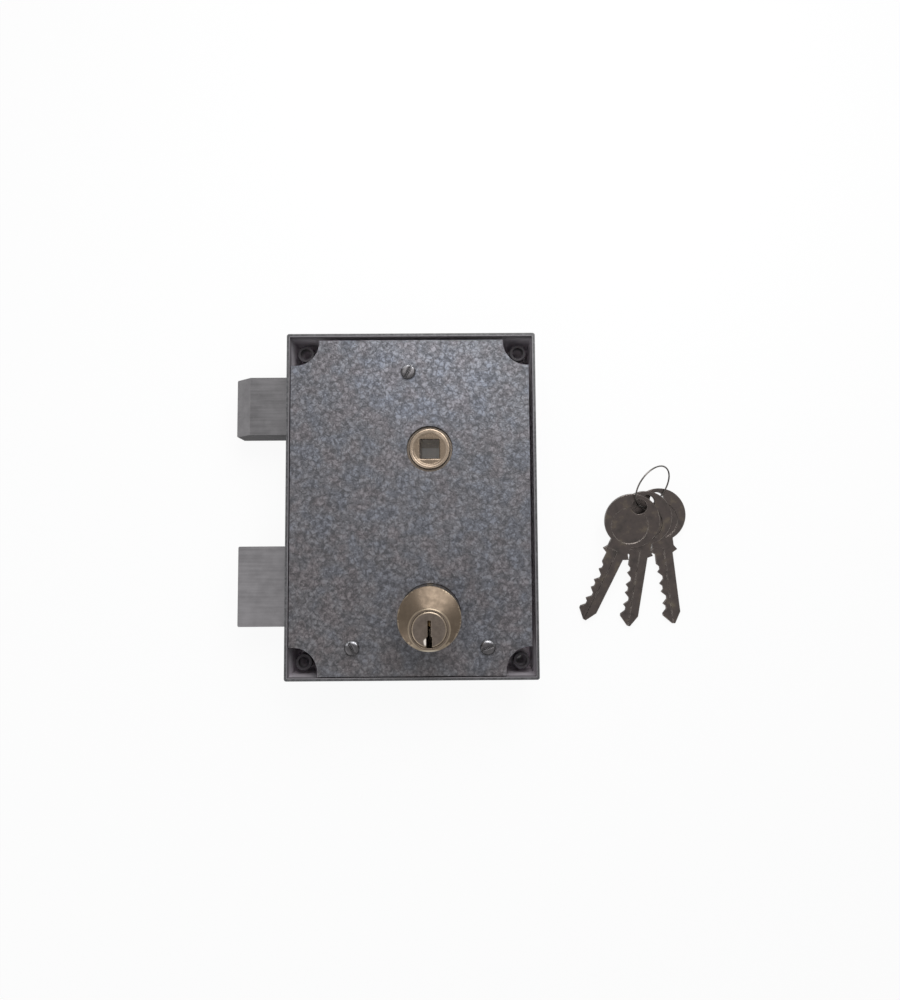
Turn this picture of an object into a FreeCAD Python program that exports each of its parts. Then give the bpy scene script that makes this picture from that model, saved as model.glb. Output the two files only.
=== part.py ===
import FreeCAD, Part
import math
import os

V = FreeCAD.Vector

# Surface-mounted door lock with a handle follower, a sprung latch, a dead bolt
# driven by a pin cylinder, and three keys on a ring.
# The lock lies on its back. +X points away from the bolts, +Y towards the latch
# end, +Z out of the cover. The origin is the centre of the case's back face.
# All sizes are in millimetres.

# Case and cover
case_width = 105.0
case_height = 145.0
case_depth = 28.0
case_sheet = 1.2
case_edge_radius = 1.0
backset = 60.2
cover_sheet = 1.5
cover_sink = 0.4
cover_gap_near = 0.4
cover_gap_far = 1.5
window_clearance = 0.35

# Corner fixings
fix_inset = 6.5
fix_bore = 4.6
pillar_diameter = 7.0
pillar_top = 20.0
corner_cut_inset = 3.5
corner_cut_radius = 10.0

# Cover screws and their posts: one near the top edge, two near the bottom edge
post_from_left = (51.3, 27.9, 83.8)
post_from_top = 16.5
post_from_bottom = 13.3
post_diameter = 6.0
screw_thread = 3.2
screw_thread_length = 9.0
screw_hole_play = 0.3
screw_bore_room = 2.0
screw_head_diameter = 6.2
screw_head_height = 1.5
screw_head_edge = 0.6
screw_slot_width = 0.9
screw_slot_depth = 0.8
screw_slot_turns = (62.0, 118.0, 20.0)

# Both bolts
bolt_floor_gap = 0.3
bolt_thickness = 16.5
bolt_hold = 10.0
bolt_edge_break = 0.4
tail_sheet = 3.0
rivet_diameter = 3.0
stud_shank = 5.0
stud_head = 8.0
stud_head_height = 1.3
stud_play = 0.2
stud_end_room = 1.0
rivet_spread = 5.3

# Latch
latch_from_top = 28.8
latch_width = 25.2
latch_projection = 25.5
latch_bevel_length = 7.5
latch_bevel_depth = 6.0
latch_tail_width = 16.0
latch_stud_drop = 3.7

# Handle follower
hub_below_latch = 20.4
hub_front_diameter = 17.1
hub_flange_diameter = 22.0
hub_body_diameter = 20.0
hub_body_flats = 17.0
hub_journal_diameter = 16.0
hub_stand = 0.8
hub_under_gap = 0.4
hub_edge_break = 0.4
floor_play = 0.2
hub_lip_width = 1.2
hub_recess = 0.6
hub_cover_hole = 19.3
spindle_square = 8.1
spindle_chamfer = 0.4
arm_bottom = 6.3
arm_sheet = 3.5
arm_ring_diameter = 28.0
arm_root_width = 22.4
arm_reach = 26.5
arm_neck = 4.0
arm_neck_start = 20.0
finger_diameter = 5.6
handle_swing = 56.0

# Latch spring, its rod and bracket
ear_sheet = 3.0
ear_play = 0.3
ear_foot_rise = 2.1
ear_wide_drop = 0.5
ear_step_gap = 0.5
spring_rise = 3.8
spring_z = 14.0
rod_diameter = 4.0
rod_reach = 1.5
rod_head_diameter = 6.0
rod_head_sheet = 1.2
spring_wire = 1.0
spring_mean_diameter = 8.0
spring_turns = 7
spring_sides = 10
wire_sides = 5
bracket_from_side = 8.5
bracket_sheet = 2.0
bracket_foot = 6.5
bracket_width = 12.0
bracket_rise = 1.0

# Dead bolt, rack and pinion
dead_from_bottom = 38.2
dead_width = 34.2
dead_projection = 22.5
dead_tail_rise = 9.3
dead_tail_room = 1.3
dead_stud_rise = 1.3
dead_far_stud_inset = 7.0
tooth_module = 0.875
pinion_teeth = 8
pressure_angle = 30.0
tooth_reach = 0.85
tooth_depth = 1.1
tooth_backlash = 0.12
rack_teeth = 12
rack_first_tooth = -10

# Cylinder
cylinder_from_bottom = 27.0
body_diameter = 25.0
body_stand = 19.9
slope_drop = 3.2
slope_reach = 16.5
plug_offset = 4.0
plug_diameter = 14.0
plug_clearance = 0.05
plug_rear_gap = 0.4
boss_diameter = 16.6
boss_rise = 0.5
rim_run = 0.6
rim_rise = 0.35
cover_cylinder_play = 0.15
keyway_top = 3.5
keyway_shoulder = -2.8
key_rest = -6.7
keyway_width = 2.3
keyway_waist = 1.3
keyway_depth = 33.5
pin_diameter = 2.8
pin_bore = 3.0
pin_pitch = 4.5
first_pin_depth = 6.5
driver_length = 4.0
cap_length = 2.3
pin_play = 0.25
sleeve_play = 0.1
sleeve_wall = 0.5
clip_groove_diameter = 12.1
clip_sheet = 0.9
clip_recess_diameter = 16.4
clip_mouth = 8.0
clip_rise = 1.0
clip_play = 0.05
clip_rim_play = 0.25
tongue_width = 6.0
tongue_sheet = 2.0
tongue_length = 3.0
tongue_end_play = 0.2
pivot_diameter = 4.0
journal_diameter = 6.4
collar_diameter = 8.4
collar_play = 0.1
fit = 0.05

# Bridge that carries the cylinder over the rack
bridge_bottom = 6.3
bridge_sheet = 2.0
bridge_width = 26.0
bridge_span = 46.0
bridge_above_cylinder = 6.0
bridge_foot = 7.5
bridge_screw_thread = 3.0
bridge_screw_head = 5.2
bridge_screw_places = ((-8.5, 5.0), (8.5, 5.0))
bridge_screw_depth = 9.0
bridge_slot_width = 0.8
bridge_slot_depth = 0.6

# Keys and ring
key_sheet = 2.0
bow_diameter = 24.0
bow_hole_wall = 1.7
bow_hole_diameter = 6.6
bow_recess_diameter = 16.0
bow_recess_depth = 0.3
bow_recess_shift = 2.4
key_neck_width = 9.6
shoulder_distance = 16.3
shoulder_width = 12.4
shoulder_ramp = 2.0
shoulder_step = 1.2
key_stop = 17.3
blade_width = 7.9
blade_length = 33.0
tip_length = 5.0
tip_ramp = 4.0
tip_flat = 1.2
tip_shift = 0.4
key_mill_depth = 0.45
key_mill_start = 15.0
key_play = 0.1
key_cuts = (1.2, 2.2, 1.6, 2.6, 1.8)
cut_flat = 1.3
cut_flank = 1.0
key_names = ("key_1", "key_2", "key_3")
key_bow_from_case = (44.15, 50.8, 58.2)
key_bow_y = (-6.75, -5.4, -4.0)
key_leans = (25.0, 8.7, -6.6)
key_slopes = (10.95, 6.65, 2.4)
ring_diameter = 20.2
ring_wire = 0.7
ring_sides = 6
ring_from_hole = (1.26, 6.6, 4.64)
ring_normal = (0.5325, -0.5098, 0.6757)

# Sides given to the small round pieces that repeat
pin_sides = 8
post_sides = 12
pillar_sides = 16

# How far the cutting tools run past what they cut
over = 1.0

# Values worked out from the ones above
left = -case_width / 2
right = case_width / 2
bottom = -case_height / 2
top = case_height / 2
floor = case_sheet
cover_top = case_depth - cover_sink
cover_under = cover_top - cover_sheet
hub_x = left + backset
latch_middle = top - latch_from_top
hub_y = latch_middle - hub_below_latch
spring_y = latch_middle + spring_rise
dead_middle = bottom + dead_from_bottom
cylinder_y = bottom + cylinder_from_bottom
bridge_middle = cylinder_y + bridge_above_cylinder
bracket_x = right - bracket_from_side
post_places = (
    (left + post_from_left[0], top - post_from_top),
    (left + post_from_left[1], bottom + post_from_bottom),
    (left + post_from_left[2], bottom + post_from_bottom),
)
bolt_bottom = floor + bolt_floor_gap
bolt_top = bolt_bottom + bolt_thickness
bolt_rear = left + bolt_hold
tail_top = bolt_bottom + tail_sheet
latch_tip = left - latch_projection
dead_tip = left - dead_projection
half_swing = math.radians(handle_swing / 2)
latch_travel = 2 * arm_reach * math.sin(half_swing)
pitch_radius = tooth_module * pinion_teeth / 2
tooth_pitch = math.pi * tooth_module
dead_travel = 2 * math.pi * pitch_radius
latch_stud_x = bolt_rear + latch_travel + stud_head / 2 + stud_end_room
latch_stud_y = latch_middle - latch_stud_drop
dead_stud_x = bolt_rear + dead_travel + stud_head / 2 + stud_end_room
dead_stud_y = dead_middle + dead_stud_rise
dead_tail_top = dead_middle + dead_tail_rise
dead_tail_end = right - case_sheet - dead_travel - dead_tail_room
dead_far_stud_x = dead_tail_end - dead_far_stud_inset
arm_top = arm_bottom + arm_sheet
finger_rest_x = hub_x - arm_reach * math.sin(half_swing)
ear_x = finger_rest_x + finger_diameter / 2 + ear_play
latch_tail_low = latch_middle - latch_tail_width / 2
latch_tail_high = latch_middle + latch_tail_width / 2
plug_y = cylinder_y - plug_offset
body_front = cover_top + body_stand
bridge_top = bridge_bottom + bridge_sheet
rack_line = plug_y + pitch_radius
tooth_tip = tooth_reach * tooth_module
tooth_root = tooth_depth * tooth_module
plug_rear = bridge_top + plug_rear_gap
clip_bottom = plug_rear + clip_rise
chamber_top = plug_offset + body_diameter / 2
key_reach = shoulder_distance + blade_length
bow_hole_offset = (bow_diameter - bow_hole_diameter) / 2 - bow_hole_wall
key_places = [
    (right + key_bow_from_case[n], key_bow_y[n], key_leans[n], key_slopes[n])
    for n in range(len(key_names))
]
pin_depths = [first_pin_depth + pin_pitch * n for n in range(len(key_cuts))]
corner_sides = [(sx, sy) for sx in (-1, 1) for sy in (-1, 1)]
fix_places = [(sx * (right - fix_inset), sy * (top - fix_inset)) for sx, sy in corner_sides]
corner_cut_places = [
    (sx * (right - corner_cut_inset), sy * (top - corner_cut_inset)) for sx, sy in corner_sides
]


def box(x0, x1, y0, y1, z0, z1):
    return Part.makeBox(x1 - x0, y1 - y0, z1 - z0, V(x0, y0, z0))


def upright(x, y, z0, z1, diameter):
    return Part.makeCylinder(diameter / 2, z1 - z0, V(x, y, z0))


def lengthways(y, z, x0, x1, diameter):
    return Part.makeCylinder(diameter / 2, x1 - x0, V(x0, y, z), V(1, 0, 0))


def regular_corners(centre, normal, radius, sides):
    """The corners of a regular outline round a centre, square to the normal."""
    normal = V(normal).normalize()
    first = normal.cross(V(1, 0, 0)).normalize()
    second = normal.cross(first)
    angles = [2 * math.pi * n / sides for n in range(sides)]
    return [centre + (first * math.cos(a) + second * math.sin(a)) * radius for a in angles]


def closed(corners):
    return Part.makePolygon(corners + corners[:1])


def polygon_wire(centre, normal, radius, sides):
    return closed(regular_corners(centre, normal, radius, sides))


def taper(low, high):
    """A solid with flat faces between two outlines that have matching corners."""
    faces = [Part.Face(closed(low)), Part.Face(closed(high))]
    for n in range(len(low)):
        m = (n + 1) % len(low)
        faces.append(Part.Face(closed([low[n], low[m], high[m], high[n]])))
    return Part.makeSolid(Part.makeShell(faces))


def flat_sided(x, y, z0, z1, diameter, sides):
    """An upright bar with flat sides, for a small round piece that repeats."""
    outline = polygon_wire(V(x, y, z0), V(0, 0, 1), diameter / 2, sides)
    return Part.Face(outline).extrude(V(0, 0, z1 - z0))


def slot(x0, x1, y, z0, z1, width):
    """A slot along X whose round ends reach x0 and x1."""
    r = width / 2
    straight = box(x0 + r, x1 - r, y - r, y + r, z0, z1)
    ends = [upright(x, y, z0, z1, width) for x in (x0 + r, x1 - r)]
    return straight.fuse(ends).removeSplitter()


def prism(points, direction):
    """The closed outline through the points, swept along the direction."""
    outline = Part.makePolygon([V(*p) for p in points] + [V(*points[0])])
    return Part.Face(outline).extrude(direction)


def turned(profile, x, y):
    """A solid of revolution about an upright axis, from radius and height pairs."""
    corners = [V(r, 0, z) for r, z in profile]
    face = Part.Face(Part.makePolygon(corners + corners[:1]))
    solid = face.revolve(V(0, 0, 0), V(0, 0, 1), 360)
    solid.translate(V(x, y, 0))
    return solid


def save(name, shapes):
    shape = shapes if isinstance(shapes, Part.Shape) else Part.makeCompound(shapes)
    shape.exportStep("parts/" + name + ".step")


def case_tray():
    """Folded steel tray with bolt windows in its left wall."""
    outer = box(left, right, bottom, top, 0, case_depth)
    uprights = [e for e in outer.Edges if abs(e.Vertexes[0].Z - e.Vertexes[1].Z) > over]
    outer = outer.makeFillet(case_edge_radius, uprights)
    inner = box(
        left + case_sheet,
        right - case_sheet,
        bottom + case_sheet,
        top - case_sheet,
        floor,
        case_depth + over,
    )
    tray = outer.cut(inner)
    cuts = []
    for middle, width in ((latch_middle, latch_width), (dead_middle, dead_width)):
        half = width / 2 + window_clearance
        low = bolt_bottom - bolt_floor_gap
        cuts.append(
            box(left - over, left + case_sheet + over, middle - half, middle + half,
                low, bolt_top + window_clearance)
        )
    for x, y in fix_places:
        cuts.append(upright(x, y, -over, floor + over, fix_bore))
    cuts.append(upright(hub_x, hub_y, -over, floor + over, hub_journal_diameter + 2 * fit))
    cuts.append(upright(hub_x, plug_y, -over, floor + over, pivot_diameter + 2 * fit))
    return tray.cut(cuts)


def corner_cut(x, y):
    """The part of the cover that is cut away round one corner fixing."""
    r = corner_cut_radius
    out_x = math.copysign(case_width, x)
    out_y = math.copysign(case_height, y)
    side = math.copysign(r, x)
    end = math.copysign(r, y)
    z0, z1 = cover_under - over, cover_top + over
    round_part = upright(x, y, z0, z1, 2 * r)
    across = box(min(x, out_x), max(x, out_x), min(y - end, out_y), max(y - end, out_y), z0, z1)
    along = box(min(x - side, out_x), max(x - side, out_x), min(y, out_y), max(y, out_y), z0, z1)
    return round_part.fuse([across, along])


def cover():
    """Loose cover plate, set a little low in the tray."""
    plate = box(
        left + case_sheet + cover_gap_near,
        right - case_sheet - cover_gap_far,
        bottom + case_sheet + cover_gap_near,
        top - case_sheet - cover_gap_far,
        cover_under,
        cover_top,
    )
    cuts = [corner_cut(x, y) for x, y in corner_cut_places]
    cuts += [upright(x, y, 0, case_depth, screw_thread + 2 * screw_hole_play)
             for x, y in post_places]
    cuts.append(upright(hub_x, hub_y, 0, case_depth, hub_cover_hole))
    opening = body_diameter + 2 * cover_cylinder_play
    cuts.append(upright(hub_x, cylinder_y, 0, case_depth, opening))
    return plate.cut(cuts)


def cover_posts():
    """Tapped posts that carry the cover, welded to the case floor."""
    posts = []
    for x, y in post_places:
        post = flat_sided(x, y, floor, cover_under, post_diameter, post_sides)
        bore_end = cover_under - screw_thread_length - screw_bore_room
        posts.append(post.cut(flat_sided(x, y, bore_end, cover_under + over, screw_thread, pin_sides)))
    return posts


def cover_screws():
    """Slotted pan-head screws."""
    screws = []
    head_top = cover_top + screw_head_height
    radius = screw_head_diameter / 2
    profile = (
        (0, cover_top),
        (radius, cover_top),
        (radius, head_top - screw_head_edge),
        (radius - screw_head_edge, head_top),
        (0, head_top),
    )
    for (x, y), turn in zip(post_places, screw_slot_turns):
        shank = flat_sided(x, y, cover_top - screw_thread_length, cover_top, screw_thread, pin_sides)
        screw = turned(profile, x, y).fuse(shank)
        half = screw_slot_width / 2
        reach = screw_head_diameter
        cut = box(x - reach, x + reach, y - half, y + half,
                  head_top - screw_slot_depth, head_top + over)
        cut.rotate(V(x, y, 0), V(0, 0, 1), turn)
        screws.append(screw.cut(cut))
    return screws


def fixing_pillars():
    """Sleeves that take the four fixing screws through the case."""
    sleeves = []
    bore = fix_bore / math.cos(math.pi / pillar_sides)
    for x, y in fix_places:
        sleeve = flat_sided(x, y, floor, pillar_top, pillar_diameter, pillar_sides)
        sleeves.append(sleeve.cut(flat_sided(x, y, 0, case_depth, bore, pillar_sides)))
    return sleeves


def stud_places():
    return [(latch_stud_x, latch_stud_y), (dead_stud_x, dead_stud_y), (dead_far_stud_x, dead_stud_y)]


def guide_studs():
    """Headed studs, welded to the floor, that the bolt tails slide along."""
    head_bottom = tail_top + stud_play
    head_top = head_bottom + stud_head_height
    studs = []
    for x, y in stud_places():
        shank = flat_sided(x, y, floor, head_bottom, stud_shank, post_sides)
        studs.append(shank.fuse(flat_sided(x, y, head_bottom, head_top, stud_head, post_sides)))
    return studs


def tail_slot(stud_x, stud_y, travel):
    """The slot that lets a tail slide past its stud by the whole travel."""
    clearance = stud_play + stud_shank / 2
    return slot(stud_x - travel - clearance, stud_x + clearance, stud_y,
                bolt_bottom - over, tail_top + over, 2 * clearance)


def rivets(middle, z0, z1):
    """Three rivet shanks in a row across a bolt."""
    x = bolt_rear - bolt_hold / 2
    return [flat_sided(x, middle + side * rivet_spread, z0, z1, rivet_diameter, pin_sides)
            for side in (-1, 0, 1)]


def bolt_head(tip, middle, width, tail_low, tail_high, bevel_length, bevel_depth):
    """A bolt block with a rebate for its tail, bevelled on the cover side if asked."""
    low, high = middle - width / 2, middle + width / 2
    if bevel_length > 0:
        profile = [
            (tip, low, bolt_bottom),
            (bolt_rear, low, bolt_bottom),
            (bolt_rear, low, bolt_top),
            (tip + bevel_length, low, bolt_top),
            (tip, low, bolt_top - bevel_depth),
        ]
        block = prism(profile, V(0, width, 0))
    else:
        block = box(tip, bolt_rear, low, high, bolt_bottom, bolt_top)
    tip_edges = [e for e in block.Edges if all(abs(v.X - tip) < 0.01 for v in e.Vertexes)]
    block = block.makeChamfer(bolt_edge_break, tip_edges)
    rebate = box(left, bolt_rear + over, tail_low - fit, tail_high + fit, 0, tail_top)
    return block.cut([rebate] + rivets(middle, 0, bolt_top + over))


def latch_tail():
    """Flat tail with an upright ear that the follower's finger pushes."""
    plate = box(left, ear_x + ear_sheet, latch_tail_low, latch_tail_high, bolt_bottom, tail_top)
    foot = box(ear_x, ear_x + ear_sheet, latch_middle + ear_foot_rise, latch_tail_high,
               bolt_bottom, bolt_top)
    wide = box(ear_x, ear_x + ear_sheet, latch_middle - ear_wide_drop, latch_tail_high,
               arm_top + ear_step_gap, bolt_top)
    tail = plate.fuse([foot, wide]).removeSplitter()
    cuts = rivets(latch_middle, 0, tail_top + over)
    cuts.append(tail_slot(latch_stud_x, latch_stud_y, latch_travel))
    rod_hole = rod_diameter + 2 * fit
    cuts.append(lengthways(spring_y, spring_z, ear_x - over, ear_x + ear_sheet + over, rod_hole))
    return tail.cut(cuts)


def spring_bracket():
    """Angle bracket on the floor that holds the spring rod."""
    low = spring_y - bracket_width / 2
    high = spring_y + bracket_width / 2
    upright_leg = box(bracket_x, bracket_x + bracket_sheet, low, high, floor, bolt_top + bracket_rise)
    foot = box(bracket_x, bracket_x + bracket_foot, low, high, floor, floor + bracket_sheet)
    bracket = upright_leg.fuse(foot).removeSplitter()
    return bracket.cut(lengthways(spring_y, spring_z, 0, right, rod_diameter))


def spring_rod():
    """Rod through the ear, headed behind the bracket."""
    rear = bracket_x + bracket_sheet
    shank = lengthways(spring_y, spring_z, ear_x - rod_reach, rear, rod_diameter)
    head = lengthways(spring_y, spring_z, rear, rear + rod_head_sheet, rod_head_diameter)
    return shank.fuse(head)


def coil(x0, x1, y, z, mean_radius, wire, turns):
    """A wire wound along X from x0 to x1, in straight facets."""
    steps = turns * spring_sides
    rise = (x1 - x0 - wire) / steps
    points = []
    for n in range(steps + 1):
        angle = 2 * math.pi * n / spring_sides
        points.append(V(
            x0 + wire / 2 + rise * n,
            y + mean_radius * math.cos(angle),
            z + mean_radius * math.sin(angle),
        ))
    start = points[1] - points[0]
    section = polygon_wire(points[0], start, wire / 2, wire_sides)
    sweep = Part.BRepOffsetAPI.MakePipeShell(Part.makePolygon(points))
    sweep.setTransitionMode(1)
    sweep.setFrenetMode(False)
    sweep.add(section)
    sweep.build()
    sweep.makeSolid()
    return sweep.shape()


def latch_spring():
    """Compression spring round the rod, between the ear and the bracket."""
    return coil(ear_x + ear_sheet, bracket_x, spring_y, spring_z,
                spring_mean_diameter / 2, spring_wire, spring_turns)


def follower_hub():
    """Turned brass follower with a square through hole for the handle spindle."""
    front = cover_top + hub_stand
    shoulder = cover_under - hub_under_gap
    face_radius = hub_front_diameter / 2
    shelf = floor + floor_play
    profile = (
        (0, floor_play),
        (hub_journal_diameter / 2, floor_play),
        (hub_journal_diameter / 2, shelf),
        (hub_body_diameter / 2, shelf),
        (hub_body_diameter / 2, arm_top),
        (hub_flange_diameter / 2, arm_top),
        (hub_flange_diameter / 2, shoulder),
        (face_radius, shoulder),
        (face_radius, front - hub_edge_break),
        (face_radius - hub_edge_break, front),
        (face_radius - hub_lip_width, front),
        (face_radius - hub_lip_width - hub_recess, front - hub_recess),
        (0, front - hub_recess),
    )
    hub = turned(profile, hub_x, hub_y)
    half = spindle_square / 2
    face_z = front - hub_recess
    cuts = [
        box(hub_x - half, hub_x + half, hub_y - half, hub_y + half, -over, front + over),
        square_taper(half, half + spindle_chamfer, face_z - spindle_chamfer, face_z),
    ]
    cuts += hub_flats(shelf, 0, handle_swing / 2)
    return hub.cut(cuts)


def square_taper(half_low, half_high, z0, z1):
    """A square funnel round the follower's axis."""
    return taper(*[[V(hub_x + sx * half, hub_y + sy * half, z)
                    for sx, sy in ((-1, -1), (1, -1), (1, 1), (-1, 1))]
                   for half, z in ((half_low, z0), (half_high, z1))])


def hub_flats(z0, play, turn):
    """The two slices outside the flats that key the arm to the follower."""
    across = hub_body_flats / 2 + play
    reach = hub_body_diameter
    slices = [
        box(hub_x - reach, hub_x - across, hub_y - reach, hub_y + reach, z0, arm_top),
        box(hub_x + across, hub_x + reach, hub_y - reach, hub_y + reach, z0, arm_top),
    ]
    for piece in slices:
        piece.rotate(V(hub_x, hub_y, 0), V(0, 0, 1), turn)
    return slices


def follower_arm():
    """Steel arm on the follower, with a round finger behind the latch ear."""
    ring = upright(hub_x, hub_y, arm_bottom, arm_top, arm_ring_diameter)
    root = arm_root_width / 2
    outline = [
        (hub_x - root, hub_y, arm_bottom),
        (hub_x - arm_neck / 2, hub_y + arm_neck_start, arm_bottom),
        (hub_x - arm_neck / 2, hub_y + arm_reach, arm_bottom),
        (hub_x + arm_neck / 2, hub_y + arm_reach, arm_bottom),
        (hub_x + arm_neck / 2, hub_y + arm_neck_start, arm_bottom),
        (hub_x + root, hub_y, arm_bottom),
    ]
    lever = prism(outline, V(0, 0, arm_sheet))
    finger = upright(hub_x, hub_y + arm_reach, arm_bottom, arm_top, finger_diameter)
    arm = ring.fuse([lever, finger]).removeSplitter()
    core = upright(hub_x, hub_y, arm_bottom - over, arm_top, hub_body_diameter + 2 * fit)
    core = core.cut(hub_flats(0, fit, 0))
    arm = arm.cut(core)
    arm.rotate(V(hub_x, hub_y, 0), V(0, 0, 1), handle_swing / 2)
    return arm


def rack_cuts():
    """Everything to take off the tail's lower edge to leave the rack teeth."""
    slant = math.tan(math.radians(pressure_angle))
    half = tooth_pitch / 4 - tooth_backlash / 2
    tip_y = rack_line - tooth_tip
    root_y = rack_line + tooth_root
    z0, z1 = bolt_bottom - over, tail_top + over
    teeth = []
    for n in range(rack_teeth):
        x = hub_x + (rack_first_tooth + n + 0.5) * tooth_pitch
        outline = [
            (x - half + tooth_tip * slant, tip_y, z0),
            (x + half - tooth_tip * slant, tip_y, z0),
            (x + half + tooth_root * slant, root_y, z0),
            (x - half - tooth_root * slant, root_y, z0),
        ]
        teeth.append(prism(outline, V(0, 0, z1 - z0)))
    band = box(left - over, right, tip_y - over, root_y, z0, z1)
    return band.cut(teeth)


def deadbolt_tail():
    """Flat tail whose lower edge is the rack that the pinion drives."""
    tip_y = rack_line - tooth_tip
    plate = box(left, dead_tail_end, tip_y, dead_tail_top, bolt_bottom, tail_top)
    cuts = rivets(dead_middle, 0, tail_top + over)
    cuts.append(tail_slot(dead_stud_x, dead_stud_y, dead_travel))
    cuts.append(tail_slot(dead_far_stud_x, dead_stud_y, dead_travel))
    cuts.append(rack_cuts())
    return plate.cut(cuts)


def involute_point(radius, base_radius, base_angle):
    """The point of a pinion flank at one radius, mirrored by the angle's sign."""
    roll = math.acos(min(1.0, base_radius / radius))
    swing = math.copysign(math.tan(roll) - roll, base_angle)
    return on_pinion(radius, base_angle - swing)


def on_pinion(radius, angle):
    """A point in the pinion's plane, its angle measured from +Y."""
    return V(hub_x + radius * math.sin(angle), plug_y + radius * math.cos(angle), bolt_bottom)


def pinion_teeth_ring():
    """Involute pinion with stub teeth, one tooth pointing at the rack."""
    press = math.radians(pressure_angle)
    base = pitch_radius * math.cos(press)
    root = pitch_radius - tooth_root
    tip = pitch_radius + tooth_tip
    half = (tooth_pitch / 2 - tooth_backlash) / 2 / pitch_radius
    base_angle = half + math.tan(press) - press
    edges = []
    step = 2 * math.pi / pinion_teeth
    for n in range(pinion_teeth):
        turn = n * step
        flanks = []
        for sign in (-1, 1):
            radii = (base, (base + tip) / 2, tip)
            flanks.append([involute_point(r, base, sign * base_angle) for r in radii])
        rising, falling = flanks
        tip_middle = on_pinion(tip, 0)
        foot_in = on_pinion(root, -base_angle)
        foot_out = on_pinion(root, base_angle)
        valley = on_pinion(root, step / 2)
        next_foot = on_pinion(root, step - base_angle)
        tooth = [
            Part.makeLine(foot_in, rising[0]),
            Part.Arc(*rising).toShape(),
            Part.Arc(rising[2], tip_middle, falling[2]).toShape(),
            Part.Arc(*falling[::-1]).toShape(),
            Part.makeLine(falling[0], foot_out),
            Part.Arc(foot_out, valley, next_foot).toShape(),
        ]
        for edge in tooth:
            edge.rotate(V(hub_x, plug_y, 0), V(0, 0, 1), -math.degrees(turn))
            edges.append(edge)
    outline = Part.Wire(Part.__sortEdges__(edges))
    return Part.Face(outline).extrude(V(0, 0, tail_sheet))


def drive_pinion():
    """Pinion with a pivot in the floor, a journal in the bridge and a tongue above."""
    pieces = [
        upright(hub_x, plug_y, floor_play, bolt_bottom, pivot_diameter),
        upright(hub_x, plug_y, tail_top, bridge_bottom - collar_play, collar_diameter),
        upright(hub_x, plug_y, bridge_bottom - collar_play, bridge_top + collar_play, journal_diameter),
        box(hub_x - tongue_sheet / 2, hub_x + tongue_sheet / 2,
            plug_y - tongue_width / 2, plug_y + tongue_width / 2,
            bridge_top + collar_play, plug_rear + tongue_length),
    ]
    return pinion_teeth_ring().fuse(pieces).removeSplitter()


def keyway():
    """The slot for the key: a narrow upper part over a wide one that runs out at the plug's edge."""
    z0, z1 = body_front - keyway_depth, body_front + over
    narrow, wide = keyway_waist / 2, keyway_width / 2
    shoulder = plug_y + keyway_shoulder
    upper = box(hub_x - narrow, hub_x + narrow, shoulder, plug_y + keyway_top, z0, z1)
    lower = box(hub_x - wide, hub_x + wide, plug_y - plug_diameter / 2 - over, shoulder, z0, z1)
    return upper.fuse(lower)


def pin_shaft(depth, low, high, diameter):
    """A bar along Y in the pin chamber at one depth behind the front."""
    start = V(hub_x, plug_y + low, body_front - depth)
    outline = polygon_wire(start, V(0, 1, 0), diameter / 2, pin_sides)
    return Part.Face(outline).extrude(V(0, high - low, 0))


def cylinder_plug():
    """Turning plug with its keyway, pin bores, clip groove and rear slot."""
    radius = plug_diameter / 2
    plug = turned((
        (0, plug_rear),
        (radius, plug_rear),
        (radius, body_front - rim_rise),
        (radius - rim_run, body_front),
        (0, body_front),
    ), hub_x, plug_y)
    groove_top = clip_bottom + clip_sheet + 2 * clip_play
    groove = upright(hub_x, plug_y, clip_bottom, groove_top, plug_diameter + over)
    groove = groove.cut(upright(hub_x, plug_y, 0, body_front, clip_groove_diameter))
    slot_half = tongue_sheet / 2 + fit
    slot_end = tongue_width / 2 + tongue_end_play
    rear_slot = box(hub_x - slot_half, hub_x + slot_half, plug_y - slot_end, plug_y + slot_end,
                    plug_rear - over, plug_rear + tongue_length + tongue_end_play)
    low = pin_seat(max(key_cuts)) - key_play
    bores = [pin_shaft(d, low, plug_diameter, pin_bore) for d in pin_depths]
    return plug.cut([keyway(), groove, rear_slot] + bores)


def plug_clip():
    """C-shaped clip that keeps the plug in the body."""
    z0 = clip_bottom + clip_play
    outer = clip_recess_diameter - 2 * clip_rim_play
    ring = upright(hub_x, plug_y, z0, z0 + clip_sheet, outer)
    ring = ring.cut(upright(hub_x, plug_y, 0, body_front, clip_groove_diameter + 2 * fit))
    mouth = box(hub_x - clip_mouth / 2, hub_x + clip_mouth / 2, plug_y - outer, plug_y, 0, body_front)
    return ring.cut(mouth)


def cylinder_body():
    """Round body whose front is turned away as a cone round the off-centre plug."""
    boss = boss_diameter / 2
    slant = slope_drop / (slope_reach - boss)
    drop = slant * (body_diameter - boss)
    profile = (
        (0, bridge_top - over),
        (body_diameter, bridge_top - over),
        (body_diameter, body_front - boss_rise - drop),
        (boss, body_front - boss_rise),
        (boss, body_front - rim_rise),
        (boss - rim_run, body_front),
        (0, body_front),
    )
    barrel = upright(hub_x, cylinder_y, bridge_top, body_front + over, body_diameter)
    body = barrel.common(turned(profile, hub_x, plug_y))
    bore = plug_diameter + 2 * plug_clearance
    recess_top = clip_bottom + clip_sheet + 3 * clip_play
    cuts = [
        upright(hub_x, plug_y, 0, body_front + over, bore),
        upright(hub_x, plug_y, 0, recess_top, clip_recess_diameter),
    ]
    cuts += [pin_shaft(d, 0, body_diameter, pin_bore) for d in pin_depths]
    cuts += [flat_sided(x, y, 0, bridge_top + bridge_screw_depth + over, bridge_screw_thread, pin_sides)
             for x, y in body_screw_places()]
    return body.cut(cuts)


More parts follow.
